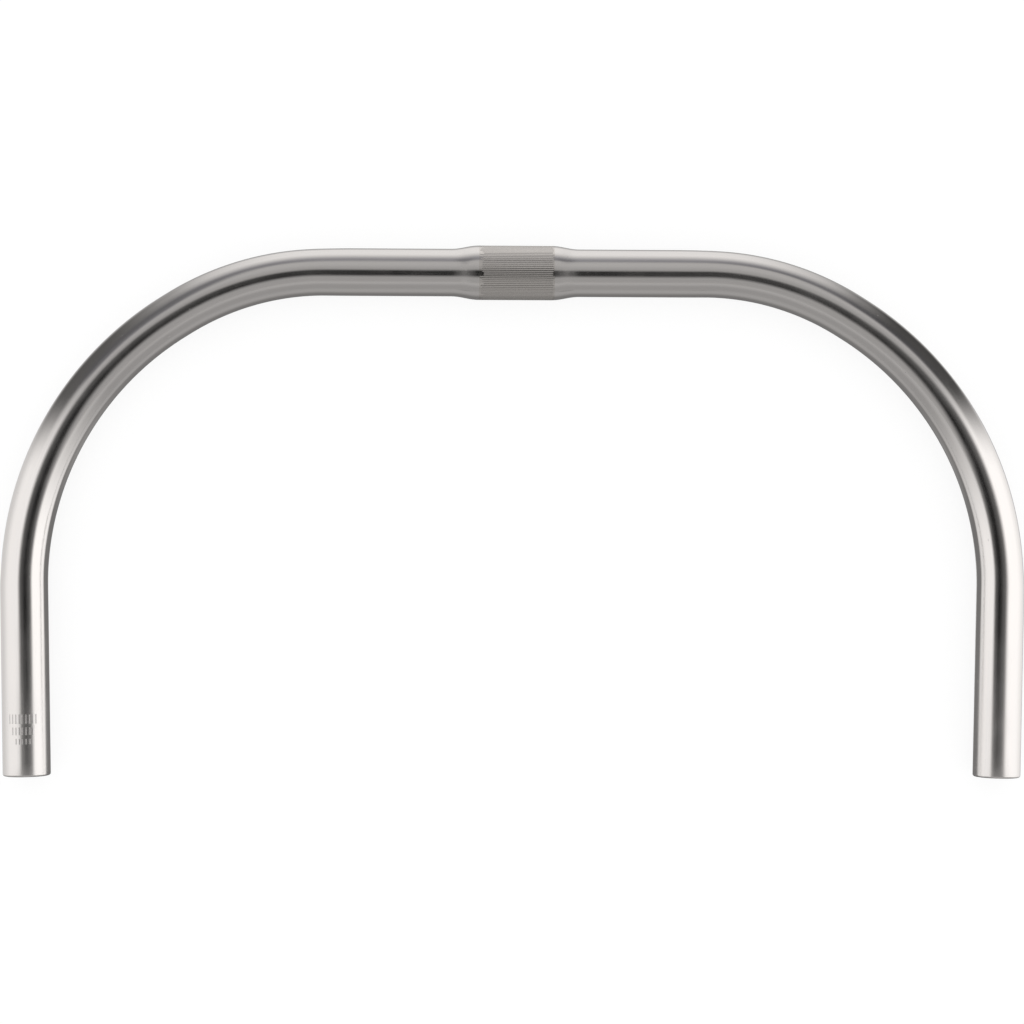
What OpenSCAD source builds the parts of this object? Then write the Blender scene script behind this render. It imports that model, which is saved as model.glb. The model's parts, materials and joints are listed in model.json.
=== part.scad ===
// Swept-back bicycle handlebar: one aluminium tube, bent flat in two bends a side,
// with a bulged clamp zone in the middle and a reinforcing liner inside the bulge.
//
// Frame: the origin is the middle of the clamp zone. +X runs along the clamp zone to the
// rider's right, +Y points forward and +Z up. Both arms sweep back towards -Y and every
// bend lies in the XY plane. All sizes are in millimetres.

/* [Overall] */
// Width across the outsides of the two bends, where the bar is widest
overall_w = 480; // [440:1:560]

/* [Tube] */
// Outside diameter of the tube, which grips and brake levers clamp round
tube_d = 22.2; // [22:0.1:23.8]
// Wall thickness of the tube
wall_t = 2.2; // [1.6:0.1:3]
// Radius worked onto the outer edge of each cut end
lip_r = 1; // [0.4:0.1:1.4]

/* [Clamp zone] */
// Outside diameter of the bulge, over the crests of its ridges, which the stem clamps round
clamp_d = 25.4; // [25:0.1:26]
// Length of the bulge at its full diameter
clamp_len = 34; // [26:1:45]
// Length of the S-shaped taper on each side of the bulge
taper_len = 13; // [8:1:20]
// Wall thickness in the bulge, thinned a little by the forming
bulge_wall_t = 2.1; // [1.5:0.1:2.8]

/* [Bends] */
// Centre-line radius of the shoulder bend, the first from the middle
shoulder_r = 129; // [110:1:150]
// Angle that the shoulder bend turns through
shoulder_angle = 32; // [20:1:40]
// Centre-line radius of the arm bend, the second from the middle
arm_r = 147; // [120:1:160]
// Length of the short straight neck between the two bends
neck_len = 3; // [2:0.5:20]
// Angle by which each arm points inwards past straight back
toe_in = 1; // [0:0.5:6]
// Length of the straight grip section at the end of each arm
grip_len = 87.5; // [70:0.5:140]
// How far bending draws in each side of the tube's wall
draw_in = 0.05; // [0.03:0.01:0.1]

/* [Liner] */
// Length of the reinforcing liner inside the bulge
liner_len = 80; // [70:1:110]
// Wall thickness of the liner
liner_t = 1.5; // [1:0.1:2.5]

/* [Hidden] */
$fn = 64;
TAPER_STEPS = 12;
LAP_ANGLE = 0.2;

tube_r = tube_d / 2;
bore_r = tube_r - wall_t;
clamp_r = clamp_d / 2;
clamp_bore_r = clamp_r - bulge_wall_t;

// The arm's direction, measured clockwise from +X as seen from above
arm_heading = 90 + toe_in;
// The straight top on each side is what is left of half the overall width
top_len = overall_w / 2 - (tube_r - draw_in) - shoulder_r * sin(shoulder_angle)
    - neck_len * cos(shoulder_angle) - arm_r * (1 - sin(shoulder_angle));

// A point on a circle, at the place where the tube heads in this direction
function round_at(radius, heading) = [radius * sin(heading), radius * cos(heading)];

shoulder_centre = [top_len, -shoulder_r];
neck_start = shoulder_centre + round_at(shoulder_r, shoulder_angle);
neck_end = neck_start + neck_len * [cos(shoulder_angle), -sin(shoulder_angle)];
arm_centre = neck_end - round_at(arm_r, shoulder_angle);
grip_start = arm_centre + round_at(arm_r, arm_heading);

// The smooth rise of the bulge, from 0 where the taper starts to 1 at full diameter
function rise(s) = (1 - cos(180 * s)) / 2;

// One side's taper, as [radius, distance along the bar] pairs from the middle outwards
function taper(full_r, end_r) = [
    for (i = [0 : TAPER_STEPS])
        [end_r + (full_r - end_r) * rise(1 - i / TAPER_STEPS),
         clamp_len / 2 + taper_len * i / TAPER_STEPS]
];

// A bulged line along the bar from -half_len to half_len
function bulged(full_r, end_r, half_len) = [
    [end_r, -half_len],
    for (i = [TAPER_STEPS : -1 : 0]) let (p = taper(full_r, end_r)[i]) [p[0], -p[1]],
    each taper(full_r, end_r),
    [end_r, half_len]
];

function backwards(points) = [for (i = [len(points) - 1 : -1 : 0]) points[i]];

// A tube along X between two bulged lines
module bulged_tube(outer, inner) {
    rotate([0, 90, 0])
        rotate_extrude()
            polygon(concat(outer, backwards(inner)));
}

module tube_section(thinner = 0) {
    difference() {
        circle(tube_r - thinner);
        circle(bore_r + thinner);
    }
}

// A bend about centre, from one heading to the next. Each end runs a little way into the
// straight section that it meets, inside that section's wall.
module bend(centre, radius, from, to) {
    lap = LAP_ANGLE;
    translate([centre[0], centre[1], 0])
        rotate([0, 0, 90 - to - lap])
            rotate_extrude(angle = to - from + 2 * lap)
                translate([radius, 0])
                    tube_section(draw_in);
}

// Turns +Z to a heading in the XY plane, with its start moved to a point
module heading_from(point, heading) {
    translate([point[0], point[1], 0])
        rotate([0, 0, -heading])
            rotate([0, 90, 0])
                children();
}

// The straight grip section, along +Z, with the outer edge of its far end rounded
module grip_section() {
    rotate_extrude() {
        translate([bore_r, 0])
            square([wall_t, grip_len - lip_r]);
        translate([bore_r, grip_len - lip_r])
            square([wall_t - lip_r, lip_r]);
        intersection() {
            translate([tube_r - lip_r, grip_len - lip_r])
                circle(lip_r);
            translate([tube_r - lip_r, grip_len - lip_r])
                square(lip_r);
        }
    }
}

module right_arm() {
    bend(shoulder_centre, shoulder_r, 0, shoulder_angle);
    heading_from(neck_start, shoulder_angle)
        linear_extrude(neck_len)
            tube_section();
    bend(arm_centre, arm_r, shoulder_angle, arm_heading);
    heading_from(grip_start, arm_heading)
        grip_section();
}

module handlebar_tube() {
    color("silver") {
        bulged_tube(bulged(clamp_r, tube_r, top_len), bulged(clamp_bore_r, bore_r, top_len));
        right_arm();
        mirror([1, 0, 0])
            right_arm();
    }
}

module centre_liner() {
    color("lightslategray")
        bulged_tube(
            bulged(clamp_bore_r, bore_r, liner_len / 2),
            bulged(clamp_bore_r - liner_t, bore_r - liner_t, liner_len / 2)
        );
}

handlebar_tube();
centre_liner();
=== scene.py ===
"""Looks of a swept-back bicycle handlebar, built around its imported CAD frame.

All sizes are in metres and angles in degrees unless a name says otherwise. The bar lies in the XY plane:
+X is the rider's right, +Y is forward and +Z is up.
"""

import json
import math
import random

import bpy
from mathutils import Matrix, Vector


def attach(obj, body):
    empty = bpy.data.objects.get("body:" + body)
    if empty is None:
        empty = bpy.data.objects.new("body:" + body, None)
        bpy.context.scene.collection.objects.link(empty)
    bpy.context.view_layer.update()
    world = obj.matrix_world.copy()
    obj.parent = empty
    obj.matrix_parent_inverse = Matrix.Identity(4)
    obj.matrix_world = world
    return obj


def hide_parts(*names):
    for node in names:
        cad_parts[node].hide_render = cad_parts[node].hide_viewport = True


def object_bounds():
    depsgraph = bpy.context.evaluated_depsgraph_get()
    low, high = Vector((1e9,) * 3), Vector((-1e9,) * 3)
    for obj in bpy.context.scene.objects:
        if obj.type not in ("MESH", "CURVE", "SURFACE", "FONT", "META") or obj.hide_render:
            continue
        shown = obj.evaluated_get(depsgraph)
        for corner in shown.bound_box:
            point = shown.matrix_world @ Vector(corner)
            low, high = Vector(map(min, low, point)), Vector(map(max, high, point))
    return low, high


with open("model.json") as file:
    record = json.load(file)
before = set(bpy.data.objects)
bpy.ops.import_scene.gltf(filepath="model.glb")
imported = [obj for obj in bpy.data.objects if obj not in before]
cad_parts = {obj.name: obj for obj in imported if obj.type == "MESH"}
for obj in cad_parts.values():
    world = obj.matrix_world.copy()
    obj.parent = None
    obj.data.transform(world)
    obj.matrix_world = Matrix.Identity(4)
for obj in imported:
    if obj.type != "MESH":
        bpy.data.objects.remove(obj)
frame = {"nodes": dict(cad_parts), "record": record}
cad_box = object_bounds()
mounts = {m["name"]: m for m in frame["record"]["mounts"]}

MM = 0.001

# ---------------------------------------------------------------- sizes of the bar

right_end = mounts["right_bar_end"]
clamp = mounts["stem_clamp"]

TUBE_R = mounts["right_grip"]["dims"]["r_mm"] * MM
BORE_R = right_end["dims"]["r_mm"] * MM
CLAMP_R = clamp["dims"]["r_mm"] * MM
CLAMP_HALF = clamp["dims"]["length_mm"] * MM / 2
BAR_END = Vector(right_end["pos_m"])
GRIP_LEN = right_end["dims"]["length_mm"] * MM
ARM_HEADING = math.degrees(math.atan2(-right_end["axis"][1], right_end["axis"][0]))

SHOULDER_R = 129 * MM
SHOULDER_ANGLE = 32.0
ARM_R = 147 * MM
NECK_LEN = 3 * MM
TAPER_LEN = 13 * MM
BULGE_WALL = 2.1 * MM
LIP_R = 1.0 * MM
BORE_EDGE_R = 0.3 * MM
# The flat of the cut end starts this far outside the bore's rounded edge
CUT_MARGIN = 0.05 * MM
# The liner fills the bulge from inside, so the bore stays a hair outside it
LINER_CLEARANCE = 0.02 * MM
# Bending flattens the tube's outer side a little, hardly its inner side, and swells it across the bend
FLATTEN_OUTER = 0.028
FLATTEN_INNER = 0.006
SWELL = 0.006
# That change of section starts a little before the first bend, and takes these lengths to come and to go
BEND_LEAD = 12 * MM
BEND_RUN_IN = 20 * MM
BEND_RUN_OUT = 10 * MM

# ---------------------------------------------------------------- centre line


def round_at(radius, heading):
    """A point on a circle about the origin, where the tube heads this many degrees clockwise from +X."""
    a = math.radians(heading)
    return Vector((radius * math.sin(a), radius * math.cos(a)))


def direction(heading):
    """The unit vector of a heading."""
    a = math.radians(heading)
    return Vector((math.cos(a), -math.sin(a)))


def centre_line():
    """The right half's sections as (length, heading at its start, bend radius or None, start point)."""
    arm = ARM_R * math.radians(ARM_HEADING - SHOULDER_ANGLE)
    shoulder = SHOULDER_R * math.radians(SHOULDER_ANGLE)
    grip_start = BAR_END.to_2d() - direction(ARM_HEADING) * GRIP_LEN
    arm_start = grip_start - round_at(ARM_R, ARM_HEADING) + round_at(ARM_R, SHOULDER_ANGLE)
    neck_start = arm_start - direction(SHOULDER_ANGLE) * NECK_LEN
    top_end = neck_start - round_at(SHOULDER_R, SHOULDER_ANGLE) + round_at(SHOULDER_R, 0)
    return [
        (top_end.x, 0.0, None, Vector((0, 0))),
        (shoulder, 0.0, SHOULDER_R, top_end),
        (NECK_LEN, SHOULDER_ANGLE, None, neck_start),
        (arm, SHOULDER_ANGLE, ARM_R, arm_start),
        (GRIP_LEN, ARM_HEADING, None, grip_start),
    ]


SECTIONS = centre_line()
HALF_LEN = sum(s[0] for s in SECTIONS)


def place_at(s):
    """The centre line's point and heading at the signed distance s from the middle."""
    left, here = s < 0, abs(s)
    for length, heading, radius, start in SECTIONS:
        if here <= length or start == SECTIONS[-1][3]:
            break
        here -= length
    if radius is None:
        point = start + direction(heading) * here
    else:
        turned = heading + math.degrees(here / radius)
        point = start - round_at(radius, heading) + round_at(radius, turned)
        heading = turned
    if left:
        return Vector((-point.x, point.y)), -heading
    return point, heading


def smooth(x):
    """A soft step from 0 at 0 to 1 at 1."""
    x = min(max(x, 0.0), 1.0)
    return x * x * (3 - 2 * x)


def bend_share(s):
    """0 on the tops and the grips, 1 in the bends."""
    start = SECTIONS[0][0] - BEND_LEAD
    end = HALF_LEN - GRIP_LEN
    return smooth((abs(s) - start) / BEND_RUN_IN) * smooth((end - abs(s)) / BEND_RUN_OUT)


def bulge_share(s):
    """1 in the clamp zone, falling to 0 over the taper."""
    along = min(max((abs(s) - CLAMP_HALF) / TAPER_LEN, 0.0), 1.0)
    return (1 + math.cos(math.pi * along)) / 2


def outer_radius(s):
    return TUBE_R + (CLAMP_R - TUBE_R) * bulge_share(s)


def inner_radius(s):
    return BORE_R + (CLAMP_R - BULGE_WALL - BORE_R + LINER_CLEARANCE) * bulge_share(s)


# ---------------------------------------------------------------- mesh of the tube

PLAIN_COLUMNS = 160
BORE_COLUMNS = 80
LIP_STEPS = 8
BORE_EDGE_STEPS = 4
# Longest steps between two rings along the bar
TAPER_STEP = 1 * MM
BEND_STEP = 2.5 * MM
STRAIGHT_STEP = 6 * MM
BORE_STEP = 4 * MM
RIDGE_STEP = 3 * MM
RUN_OUT_STEP = 0.25 * MM

RIDGES = 80
# Where the columns of a ridge lie in its pitch, and how deep they are: a flat land, then a groove
RIDGE_PLACES = (0.0, 0.36, 0.72, 0.86)
RIDGE_DEPTHS = (0.0, 0.0, 0.0, 1.0)
GROOVE_START = 2
RIDGE_COLUMNS = RIDGES * len(RIDGE_PLACES)
GROOVE_DEPTH = 0.09 * MM
# The least and the most of that depth that a groove takes
DEPTH_SHARE = (0.7, 1.0)
# The ridges fill the clamp zone and run a little way onto the right taper
RIDGES_START = -CLAMP_HALF
RIDGES_END = CLAMP_HALF + 1.3 * MM
# Each groove stops short of these edges by its own amount, more so on the left
STOP_SHORT_MM = (0.1, 1.3)
RAGGED_LEFT = 1.6
RAGGED_RIGHT = 0.6
GROOVE_FADE = 0.6 * MM
RUN_OUT_ZONE = 3 * MM
RIDGE_SEED = 11

# The zones of the surface, each with its own material
POLISHED, RIDGED, BORE, CUT_END = range(4)


class Skin:
    """A closed surface made of rings, each joined to the one before it."""

    def __init__(self):
        self.points, self.faces, self.zones, self.smooth = [], [], [], []
        self.straight, self.valley = [], []
        self.rings = []

    def ring(self, s, radii, columns, valley=None):
        """A ring round the centre line at s. radii is one radius, or one for each column of the ridges."""
        centre, heading = place_at(s)
        h = math.radians(heading)
        out = Vector((math.sin(h), math.cos(h), 0))
        centre = centre.to_3d()
        bend = bend_share(s)
        first = len(self.points)
        for c in range(columns):
            if isinstance(radii, float):
                a, r = 2 * math.pi * c / columns, radii
            else:
                ridge, column = divmod(c, len(RIDGE_PLACES))
                a, r = 2 * math.pi * (ridge + RIDGE_PLACES[column]) / RIDGES, radii[c]
            flatten = FLATTEN_OUTER if math.sin(a) > 0 else FLATTEN_INNER
            across = r * math.sin(a) * (1 - flatten * bend)
            up = r * math.cos(a) * (1 + SWELL * bend)
            self.points.append(centre + out * across + Vector((0, 0, up)))
            self.straight.append((s, r * math.sin(a), r * math.cos(a)))
            self.valley.append(valley[c] if valley else 0.0)
        self.rings.append((first, columns))

    def join(self, a, b, zone):
        """Faces between ring a and ring b. One of them may have twice the other's columns."""
        (fa, na), (fb, nb) = self.rings[a], self.rings[b]
        for c in range(min(na, nb)):
            near = range(c * na // min(na, nb), (c + 1) * na // min(na, nb) + 1)
            far = range(c * nb // min(na, nb), (c + 1) * nb // min(na, nb) + 1)
            face = [fa + i % na for i in near] + [fb + i % nb for i in reversed(far)]
            self.faces.append(face)
            self.zones.append(zone)
            # the grooves keep crisp edges, so that the lands between them shine evenly
            self.smooth.append(min(na, nb) < RIDGE_COLUMNS or c % len(RIDGE_PLACES) < GROOVE_START)


def ridge_profile(s, ridges):
    """Radii and valley depths round the clamp zone. Each ridge runs out at its own place near the edge."""
    radii, valley = [], []
    for c in range(RIDGE_COLUMNS):
        ridge, column = divmod(c, len(RIDGE_PLACES))
        depth, run_out = ridges[ridge]
        shape = RIDGE_DEPTHS[column]
        ragged = RAGGED_LEFT if s < 0 else RAGGED_RIGHT
        from_edge = s - RIDGES_START if s < 0 else RIDGES_END - s
        edge = smooth((from_edge - ragged * run_out) / GROOVE_FADE)
        radii.append(outer_radius(s) - depth * shape * edge)
        valley.append(shape * edge)
    return radii, valley


def spread(start, end, step):
    """Evenly spaced values after start, up to and including end."""
    n = max(1, math.ceil(abs(end - start) / step))
    return [start + (end - start) * i / n for i in range(1, n + 1)]


def half_stations():
    """Distances from the clamp zone's edge to where the end lip starts, closer where the surface curves."""
    out = spread(CLAMP_HALF, CLAMP_HALF + TAPER_LEN, TAPER_STEP)
    section_end = 0.0
    for length, _, radius, _ in SECTIONS:
        section_end += length
        end = min(section_end, HALF_LEN - LIP_R)
        out += spread(out[-1], end, BEND_STEP if radius else STRAIGHT_STEP)
    return out


def ridge_stations():
    """Distances along the ridges, close together near their two ends, where they run out."""
    left = spread(RIDGES_START, RIDGES_START + RUN_OUT_ZONE, RUN_OUT_STEP)
    middle = spread(left[-1], RIDGES_END - RUN_OUT_ZONE, RIDGE_STEP)
    right = spread(middle[-1], RIDGES_END, RUN_OUT_STEP)
    return left + middle + right[:-1]


def lip(side):
    """Rings over one end: the rounded outer edge, the cut face and the rounded edge of the bore.

    Each is (distance from the middle, radius, zone). side is 1 at the right end and -1 at the left.
    """
    end = HALF_LEN * side
    rings = []
    for i in range(1, LIP_STEPS + 1):
        a = math.radians(90 * i / LIP_STEPS)
        rings.append((end - side * LIP_R * (1 - math.sin(a)), TUBE_R - LIP_R * (1 - math.cos(a)), POLISHED))
    rings.append((end, BORE_R + BORE_EDGE_R + CUT_MARGIN, CUT_END))
    for i in range(BORE_EDGE_STEPS + 1):
        a = math.radians(90 * i / BORE_EDGE_STEPS)
        inset, radius = BORE_EDGE_R * (1 - math.cos(a)), BORE_R + BORE_EDGE_R * (1 - math.sin(a))
        rings.append((end - side * inset, radius, CUT_END))
    return rings


def build_tube_skin():
    """The whole surface: rightwards along the outside, over the right end and back through the bore."""
    skin = Skin()
    rng = random.Random(RIDGE_SEED)
    ridges = [
        (GROOVE_DEPTH * rng.uniform(*DEPTH_SHARE), rng.uniform(*STOP_SHORT_MM) * MM)
        for _ in range(RIDGES)
    ]
    half = half_stations()

    def add(s, radii, columns, zone, valley=None):
        skin.ring(s, radii, columns, valley)
        if len(skin.rings) > 1:
            skin.join(len(skin.rings) - 2, len(skin.rings) - 1, zone)

    for s in [-h for h in reversed(half)] + [RIDGES_START]:
        add(s, outer_radius(s), PLAIN_COLUMNS, POLISHED)
    for s in ridge_stations():
        radii, valley = ridge_profile(s, ridges)
        add(s, radii, RIDGE_COLUMNS, RIDGED, valley)
    for s in [RIDGES_END] + [h for h in half if h > RIDGES_END]:
        add(s, outer_radius(s), PLAIN_COLUMNS, POLISHED if s > RIDGES_END else RIDGED)
    for s, r, zone in lip(1):
        add(s, r, PLAIN_COLUMNS, zone)
    inner_end = HALF_LEN - BORE_EDGE_R
    for s in spread(inner_end, -inner_end, BORE_STEP):
        add(s, inner_radius(s), BORE_COLUMNS, BORE)
    for s, r, zone in reversed(lip(-1)):
        add(s, r, PLAIN_COLUMNS, zone)
    skin.join(len(skin.rings) - 1, 0, POLISHED)
    return skin


def tube_piece():
    """The tube as one closed piece, with its four finishes."""
    skin = build_tube_skin()
    mesh = bpy.data.meshes.new("tube_skin")
    mesh.from_pydata(skin.points, [], skin.faces)
    mesh.polygons.foreach_set("material_index", skin.zones)
    mesh.polygons.foreach_set("use_smooth", skin.smooth)
    place = mesh.attributes.new("straight_place", "FLOAT_VECTOR", "POINT")
    place.data.foreach_set("vector", [x for p in skin.straight for x in p])
    valley = mesh.attributes.new("valley", "FLOAT", "POINT")
    valley.data.foreach_set("value", skin.valley)
    for make in (polished_aluminium, ridged_aluminium, bore_aluminium, cut_aluminium):
        mesh.materials.append(make())
    mesh.update()
    piece = bpy.data.objects.new("tube_and_clamp_ridges", mesh)
    bpy.context.scene.collection.objects.link(piece)
    return piece


# ---------------------------------------------------------------- node helpers


class Graph:
    """Short names for the nodes that the materials and the studio use."""

    def __init__(self, tree):
        self.tree = tree
        tree.nodes.clear()

    def node(self, kind, **settings):
        n = self.tree.nodes.new(kind)
        for k, v in settings.items():
            setattr(n, k, v)
        return n

    def feed(self, socket, value):
        if isinstance(value, bpy.types.NodeSocket):
            self.tree.links.new(value, socket)
        else:
            socket.default_value = value

    def math(self, operation, a, b=0.0, c=0.0, clamp=False):
        n = self.node("ShaderNodeMath", operation=operation, use_clamp=clamp)
        for socket, value in zip(n.inputs, (a, b, c)):
            self.feed(socket, value)
        return n.outputs[0]

    def ramp(self, value, start, end, low=0.0, high=1.0):
        """low before start, high after end, and a smooth step between. start may be above end."""
        if start > end:
            start, end, low, high = end, start, high, low
        n = self.node("ShaderNodeMapRange", interpolation_type="SMOOTHSTEP")
        names = ("Value", "From Min", "From Max", "To Min", "To Max")
        for name, v in zip(names, (value, start, end, low, high)):
            self.feed(n.inputs[name], v)
        return n.outputs[0]

    def blend(self, share, a, b):
        n = self.node("ShaderNodeMix", data_type="FLOAT")
        for i, v in ((0, share), (2, a), (3, b)):
            self.feed(n.inputs[i], v)
        return n.outputs[0]

    def blend_colour(self, share, a, b):
        n = self.node("ShaderNodeMix", data_type="RGBA")
        for i, v in ((0, share), (6, a), (7, b)):
            self.feed(n.inputs[i], v)
        return n.outputs[2]

    def split(self, vector):
        """A vector's three parts."""
        n = self.node("ShaderNodeSeparateXYZ")
        self.feed(n.inputs[0], vector)
        return n.outputs

    def place(self):
        """Where a point would be if the bar were straightened along X."""
        return self.node("ShaderNodeAttribute", attribute_name="straight_place").outputs["Vector"]

    def noise(self, along, across, detail=2.0, rough=0.5, source=None):
        """Noise with this many features a metre along the bar and across it."""
        stretch = self.node("ShaderNodeVectorMath", operation="MULTIPLY")
        self.feed(stretch.inputs[0], source or self.place())
        stretch.inputs[1].default_value = (along, across, across)
        n = self.node("ShaderNodeTexNoise", noise_dimensions="3D")
        self.feed(n.inputs["Vector"], stretch.outputs[0])
        n.inputs["Scale"].default_value = 1.0
        n.inputs["Detail"].default_value = detail
        n.inputs["Roughness"].default_value = rough
        return n.outputs["Fac"]

    def metal(self, colour, roughness, height, depth):
        """A metal surface. height, from 0 to 1, stands for depth metres of relief."""
        shader = self.node("ShaderNodeBsdfPrincipled")
        shader.inputs["Metallic"].default_value = 1.0
        self.feed(shader.inputs["Base Color"], colour)
        self.feed(shader.inputs["Roughness"], roughness)
        bump = self.node("ShaderNodeBump")
        bump.inputs["Strength"].default_value = 1.0
        bump.inputs["Distance"].default_value = depth
        self.feed(bump.inputs["Height"], height)
        self.feed(shader.inputs["Normal"], bump.outputs[0])
        self.surface(shader.outputs[0])

    def mix_shaders(self, share, a, b):
        n = self.node("ShaderNodeMixShader")
        for socket, value in zip(n.inputs, (share, a, b)):
            self.feed(socket, value)
        return n.outputs[0]

    def surface(self, shader):
        """Makes this shader the material's surface."""
        self.feed(self.node("ShaderNodeOutputMaterial").inputs["Surface"], shader)

    def glow_where(self, cover, light):
        """A surface that glows this brightly where cover is 1 and is clear where it is 0."""
        glowing = self.node("ShaderNodeEmission")
        self.feed(glowing.inputs["Strength"], light)
        clear = self.node("ShaderNodeBsdfTransparent")
        self.surface(self.mix_shaders(cover, clear.outputs[0], glowing.outputs[0]))


def material(name):
    m = bpy.data.materials.new(name)
    m.use_nodes = True
    return m, Graph(m.node_tree)


# ---------------------------------------------------------------- materials

# Rows of ticks on the left grip: distance from the bar's end, height and half width
TICK_PITCH = 1.6 * MM
TICK_ROWS = (
    (27.0 * MM, 4.2 * MM, 7.6 * MM),
    (21.4 * MM, 3.4 * MM, 5.2 * MM),
    (16.6 * MM, 2.4 * MM, 3.6 * MM),
)
TICK_SOFT_EDGE = 0.1 * MM
# A tick's inner and outer half width
TICK_FLAT = 0.16 * MM
TICK_FOOT = 0.32 * MM
# Whole pitches, which keep the wave above zero all the way round the tube
TICK_SHIFT = 25 * TICK_PITCH
# Hands dull the polish between these distances from the bar's end
HANDLED_FROM = 95 * MM
HANDLED_FULL = 25 * MM
SAW_RING_PITCH = 0.14 * MM


def engraved_ticks(g):
    """Three short rows of plain ticks, engraved on top of the left grip. 1 in a tick, 0 elsewhere."""
    along, across, up = g.split(g.place())
    from_end = g.math("ADD", along, HALF_LEN)
    around = g.math("MULTIPLY", g.math("ARCTAN2", across, up), TUBE_R)
    wave = g.math("PINGPONG", g.math("ADD", around, TICK_SHIFT), TICK_PITCH / 2)
    tick = g.ramp(wave, TICK_FOOT, TICK_FLAT)
    rows = 0.0
    for distance, height, half_width in TICK_ROWS:
        off_row = g.math("ABSOLUTE", g.math("SUBTRACT", from_end, distance))
        row = g.ramp(off_row, height / 2 + TICK_SOFT_EDGE, height / 2)
        sides = g.ramp(g.math("ABSOLUTE", around), half_width + TICK_SOFT_EDGE, half_width)
        rows = g.math("MAXIMUM", rows, g.math("MULTIPLY", row, sides))
    return g.math("MULTIPLY", rows, tick)


def polished_aluminium():
    """Polished lengthwise and clear anodised: fine streaks along the bar, faint haze and a few pits."""
    m, g = material("polished_aluminium")
    fine = g.noise(35, 4200, 3.0)
    broad = g.noise(7, 520, 2.0)
    haze = g.noise(60, 60, 3.0, 0.6)
    pits = g.ramp(g.noise(900, 1100, 1.0), 0.80, 0.83)
    ticks = engraved_ticks(g)
    marks = g.math("MAXIMUM", pits, ticks)
    along, _, _ = g.split(g.place())
    handled = g.ramp(g.math("ABSOLUTE", along), HALF_LEN - HANDLED_FROM, HALF_LEN - HANDLED_FULL)
    rough = g.math("ADD", g.ramp(fine, 0.3, 0.7, 0.08, 0.13), g.ramp(haze, 0.35, 0.7, 0.0, 0.04))
    rough = g.math("ADD", rough, g.ramp(broad, 0.3, 0.7, -0.01, 0.02))
    rough = g.math("ADD", rough, g.math("MULTIPLY", handled, 0.10))
    rough = g.math("ADD", rough, g.math("MULTIPLY", marks, 0.2))
    colour = g.blend_colour(broad, (0.94, 0.893, 0.86, 1), (0.90, 0.87, 0.85, 1))
    colour = g.blend_colour(g.math("MULTIPLY", pits, 0.5), colour, (0.42, 0.41, 0.40, 1))
    colour = g.blend_colour(g.math("MULTIPLY", ticks, 0.45), colour, (0.45, 0.44, 0.43, 1))
    height = g.math("ADD", g.math("MULTIPLY", fine, 0.05), g.math("MULTIPLY", broad, 0.035))
    height = g.math("SUBTRACT", height, g.math("MULTIPLY", marks, 0.8))
    g.metal(colour, rough, height, depth=0.05 * MM)
    return m


def ridged_aluminium():
    """Rolled ridges: satin lands, and rougher grooves whose colour is darkened with painted shade."""
    m, g = material("ridged_aluminium")
    valley = g.node("ShaderNodeAttribute", attribute_name="valley").outputs["Fac"]
    grain = g.noise(260, 2600, 2.0, 0.5)
    patch = g.noise(90, 220, 2.0)
    rough = g.math("ADD", g.ramp(grain, 0.3, 0.7, 0.13, 0.18), g.math("MULTIPLY", valley, 0.15))
    # painted shade: the grooves' colour is darkened towards near black, more in some patches than in others
    groove_shade = g.math("MULTIPLY", g.math("MULTIPLY", valley, valley), g.ramp(patch, 0.3, 0.7, 0.5, 0.75))
    colour = g.blend_colour(patch, (0.78, 0.735, 0.695, 1), (0.86, 0.815, 0.775, 1))
    colour = g.blend_colour(groove_shade, colour, (0.12, 0.11, 0.10, 1))
    g.metal(colour, rough, grain, depth=0.002 * MM)
    return m


def bore_aluminium():
    """The drawn inner wall, dull, with die lines along it."""
    m, g = material("bore_aluminium")
    lines = g.noise(12, 1800, 3.0)
    stain = g.noise(45, 90, 3.0, 0.6)
    rough = g.ramp(lines, 0.3, 0.7, 0.42, 0.58)
    colour = g.blend_colour(stain, (0.50, 0.50, 0.495, 1), (0.66, 0.655, 0.645, 1))
    g.metal(colour, rough, lines, depth=0.02 * MM)
    return m


def cut_aluminium():
    """The sawn and deburred end face, with fine rings round the bore."""
    m, g = material("cut_aluminium")
    _, across, up = g.split(g.place())
    radius = g.math("SQRT", g.math("ADD", g.math("MULTIPLY", across, across), g.math("MULTIPLY", up, up)))
    wave = g.math("SINE", g.math("MULTIPLY", radius, 2 * math.pi / SAW_RING_PITCH))
    rings = g.ramp(wave, -1.0, 1.0)
    stain = g.noise(300, 300, 3.0)
    rough = g.ramp(stain, 0.3, 0.7, 0.24, 0.36)
    colour = g.blend_colour(stain, (0.70, 0.70, 0.695, 1), (0.82, 0.815, 0.81, 1))
    g.metal(colour, rough, rings, depth=0.006 * MM)
    return m


def liner_aluminium():
    """The drawn reinforcing liner deep inside the bulge."""
    m, g = material("liner_aluminium")
    place = g.node("ShaderNodeTexCoord").outputs["Object"]
    lines = g.noise(15, 1600, 3.0, source=place)
    stain = g.noise(70, 120, 3.0, 0.6, source=place)
    rough = g.ramp(lines, 0.3, 0.7, 0.36, 0.5)
    colour = g.blend_colour(stain, (0.56, 0.56, 0.56, 1), (0.70, 0.70, 0.69, 1))
    g.metal(colour, rough, lines, depth=0.02 * MM)
    return m


# ---------------------------------------------------------------- studio

CEILING_HEIGHT = 1.034
CEILING_HALF_WIDTH = 1.2
CEILING_HALF_DEPTH = 1.6
LOW_CARD_HEIGHT = -35 * MM
LOW_CARD_HALF_WIDTH = 0.22
LOW_CARD_BACK = -0.6
LOW_CARD_LIGHT = 0.175
FLOOR_REACH = 12.0
FLOOR_GAP = 0.1 * MM
# The light table reflects this share of the light and glows with the rest
TABLE_DIFFUSE = 0.2
TABLE_GLOW = 0.83


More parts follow.
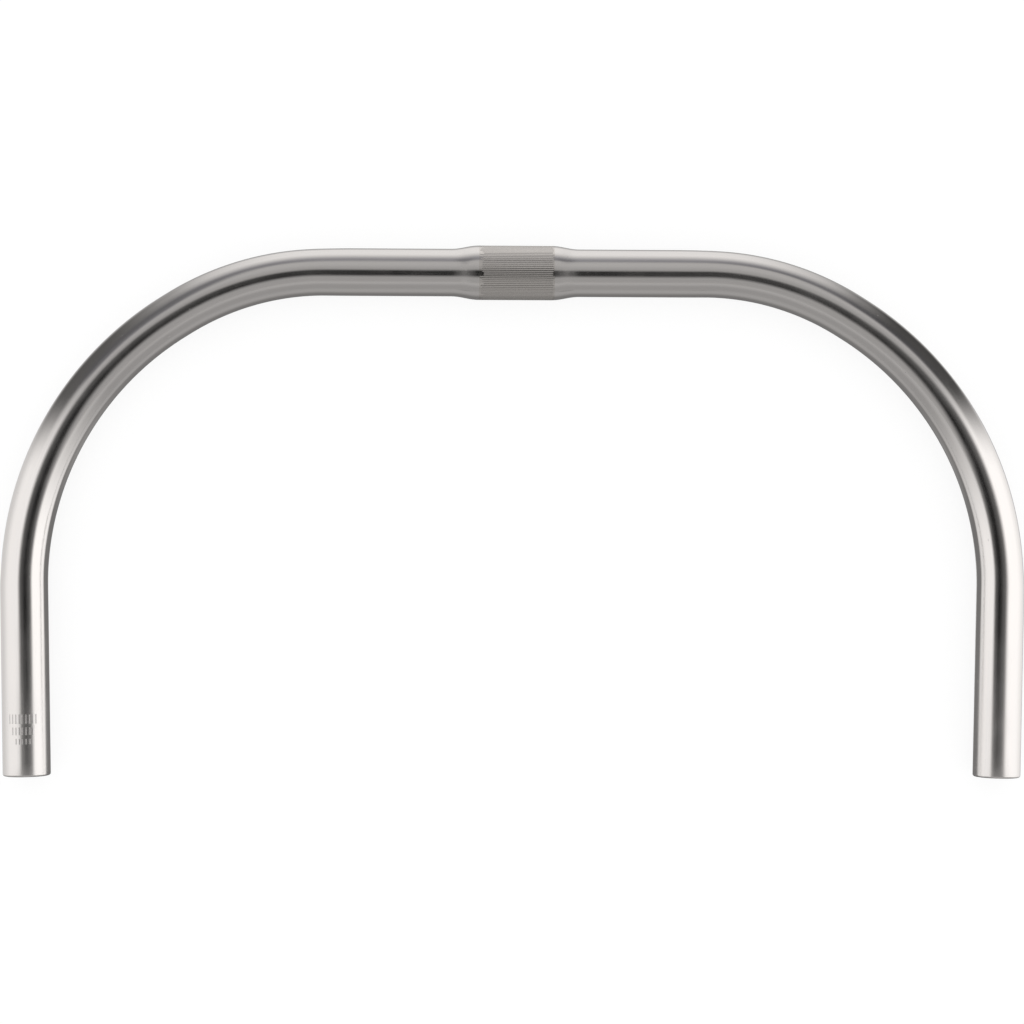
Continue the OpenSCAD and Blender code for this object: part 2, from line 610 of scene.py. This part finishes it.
def studio_world():
    """Two tall softboxes left and right and a weaker light ahead, with black flags between them.

    Only reflections see them. Every other ray gets an even white light. off_axis is a direction's angle from
    straight up, and turn is its angle from straight ahead, to either side. right is 1 on the right side.
    """
    world = bpy.data.worlds.new("studio")
    world.use_nodes = True
    bpy.context.scene.world = world
    g = Graph(world.node_tree)
    x, y, z = g.split(g.node("ShaderNodeTexCoord").outputs["Generated"])

    def degrees(radians):
        return g.math("MULTIPLY", radians, 180 / math.pi)

    def all_of(*shares):
        product = shares[0]
        for share in shares[1:]:
            product = g.math("MULTIPLY", product, share)
        return product

    off_axis = degrees(g.math("ARCCOSINE", z))
    turn = g.math("ABSOLUTE", degrees(g.math("ARCTAN2", x, y)))
    right = g.ramp(x, -0.02, 0.02)

    # the room: mid grey, dimmest just above the horizon and low down behind
    light = g.blend(g.ramp(off_axis, 52, 74), 0.40, 0.30)
    light = g.blend(g.ramp(off_axis, 84, 102), light, 0.35)
    light = g.blend(all_of(g.ramp(off_axis, 108, 138), g.ramp(turn, 118, 142)), light, 0.185)
    # a darker arc ahead, below the ceiling
    arc_top = g.blend(right, g.ramp(off_axis, 30, 46), g.ramp(off_axis, 40, 55))
    arc = all_of(arc_top, g.ramp(off_axis, 82, 60), g.ramp(turn, 58, 52))
    light = g.blend(g.math("MULTIPLY", arc, 0.95), light, g.ramp(turn, 0, 32, 0.25, 0.14))
    # the front light
    front = all_of(g.ramp(off_axis, 58, 98), g.ramp(turn, 46, 8), g.ramp(off_axis, 155, 125))
    light = g.blend(front, light, 0.80)
    # black flags beside the softboxes
    flag_start = g.blend(right, g.ramp(turn, 25, 47), g.ramp(turn, 28, 44))
    flag = all_of(flag_start, g.ramp(turn, 72, 64), g.ramp(off_axis, 38, 60), g.ramp(off_axis, 142, 128))
    light = g.blend(flag, light, g.blend(right, 0.095, 0.06))
    # the softboxes, weaker towards the floor
    soft_start = g.blend(right, g.ramp(turn, 58, 73), g.ramp(turn, 57, 72))
    soft = all_of(soft_start, g.ramp(turn, 134, 98))
    left_power = g.ramp(off_axis, 70, 125, 0.92, 0.66)
    right_power = g.ramp(off_axis, 80, 135, 1.1, 0.85)
    right_power = g.math("SUBTRACT", right_power, g.ramp(off_axis, 136, 156, 0.0, 0.5))
    light = g.blend(soft, light, g.blend(right, left_power, right_power))

    seen = g.node("ShaderNodeBackground")
    tint = g.blend_colour(g.math("MULTIPLY", arc, 0.8), (1, 1, 1, 1), (0.97, 0.98, 1.06, 1))
    g.feed(seen.inputs["Color"], tint)
    g.feed(seen.inputs["Strength"], light)
    plain = g.node("ShaderNodeBackground")
    plain.inputs["Color"].default_value = (1, 1, 1, 1)
    plain.inputs["Strength"].default_value = 1.0
    reflected = g.node("ShaderNodeLightPath").outputs["Is Glossy Ray"]
    pick = g.mix_shaders(reflected, plain.outputs[0], seen.outputs[0])
    g.feed(g.node("ShaderNodeOutputWorld").inputs["Surface"], pick)


def sheet(name, half_width, back, front, height, finish, only_reflected):
    """A flat piece of the studio. A sheet that is only reflected is out of sight and throws no shadow."""
    mesh = bpy.data.meshes.new(name)
    corners = [(-half_width, back), (half_width, back), (half_width, front), (-half_width, front)]
    mesh.from_pydata([(x, y, height) for x, y in corners], [], [(0, 1, 2, 3)])
    mesh.materials.append(finish)
    piece = bpy.data.objects.new(name, mesh)
    bpy.context.scene.collection.objects.link(piece)
    if only_reflected:
        piece.visible_camera = piece.visible_diffuse = piece.visible_shadow = False
    else:
        piece.visible_glossy = False


def light_table_finish():
    """A pale surface that partly lights itself."""
    m, g = material("light_table")
    shader = g.node("ShaderNodeBsdfPrincipled")
    shader.inputs["Base Color"].default_value = (TABLE_DIFFUSE, TABLE_DIFFUSE, TABLE_DIFFUSE, 1)
    shader.inputs["Roughness"].default_value = 1.0
    shader.inputs["Specular IOR Level"].default_value = 0.0
    shader.inputs["Emission Color"].default_value = (1, 1, 1, 1)
    shader.inputs["Emission Strength"].default_value = TABLE_GLOW
    g.surface(shader.outputs[0])
    return m


def ceiling_finish():
    """Grey card with a black strip across it, where the camera looks through. Its edges fade out."""
    m, g = material("ceiling")
    x, y, _ = g.split(g.node("ShaderNodeTexCoord").outputs["Object"])
    grey = g.ramp(y, 0.15, 0.7, 0.32, 0.41)
    ahead = g.ramp(y, 0.01, 0.23)
    behind = g.ramp(y, -0.25, -0.58)
    strip = g.ramp(g.math("ABSOLUTE", x), 0.0, 0.5, 0.006, 0.10)
    light = g.blend(g.math("ADD", ahead, behind, clamp=True), strip, grey)
    sides = g.math("MULTIPLY", g.ramp(x, 1.0, 0.43), g.ramp(x, -0.78, -0.38))
    cover = g.math("MULTIPLY", sides, g.ramp(g.math("ABSOLUTE", y), 1.5, 1.0))
    g.glow_where(cover, light)
    return m


def low_card_finish():
    """Two soft-edged grey strips under the arms' inner sides, clear elsewhere."""
    m, g = material("grey_card")
    x, y, _ = g.split(g.node("ShaderNodeTexCoord").outputs["Object"])
    off_side = g.math("ABSOLUTE", x)
    strips = g.math("MULTIPLY", g.ramp(off_side, 0.115, 0.15), g.ramp(off_side, 0.213, 0.207))
    g.glow_where(g.math("MULTIPLY", strips, g.ramp(y, -0.05, -0.13)), LOW_CARD_LIGHT)
    return m


def studio_sheets():
    """A light table, which shows only the faintest shadow, and two cards that only reflections see."""
    table_height = cad_box[0].z - FLOOR_GAP
    sheet("floor", FLOOR_REACH, -FLOOR_REACH, FLOOR_REACH, table_height, light_table_finish(), False)
    sheet("ceiling", CEILING_HALF_WIDTH, -CEILING_HALF_DEPTH, CEILING_HALF_DEPTH, CEILING_HEIGHT,
          ceiling_finish(), True)
    # the low card darkens the arms' inner edges
    sheet("low_card", LOW_CARD_HALF_WIDTH, LOW_CARD_BACK, 0.0, LOW_CARD_HEIGHT, low_card_finish(), True)


# ---------------------------------------------------------------- camera

CAMERA_DISTANCE = 1.3
CAMERA_YAW = math.radians(1.22)
CAMERA_ROLL = math.radians(-0.2)
LENS_MM = 97.45
SENSOR_MM = 36.0
# Where the bar's origin lies from the middle of the view
ORIGIN_IN_VIEW = Vector((1.475 * MM, 112.1 * MM, 0))


def camera():
    """Straight above the bar, over the middle of its depth, turned a degree."""
    data = bpy.data.cameras.new("camera")
    data.sensor_width = SENSOR_MM
    data.lens = LENS_MM
    cam = bpy.data.objects.new("camera", data)
    bpy.context.scene.collection.objects.link(cam)
    turn = Matrix.Rotation(-CAMERA_YAW, 3, "Y") @ Matrix.Rotation(-CAMERA_ROLL, 3, "Z")
    place = turn @ (Vector((0, 0, CAMERA_DISTANCE)) - ORIGIN_IN_VIEW)
    cam.matrix_world = Matrix.Translation(place) @ turn.to_4x4()
    bpy.context.scene.camera = cam


# ---------------------------------------------------------------- scene

view = bpy.context.scene.view_settings
view.view_transform = "Standard"
view.look = "None"

camera()
studio_world()
studio_sheets()

tube = tube_piece()
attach(tube, "root")
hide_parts("handlebar_tube")

liner = frame["nodes"]["centre_liner"]
liner_finish = liner_aluminium()
for slot in liner.material_slots:
    slot.material = liner_finish
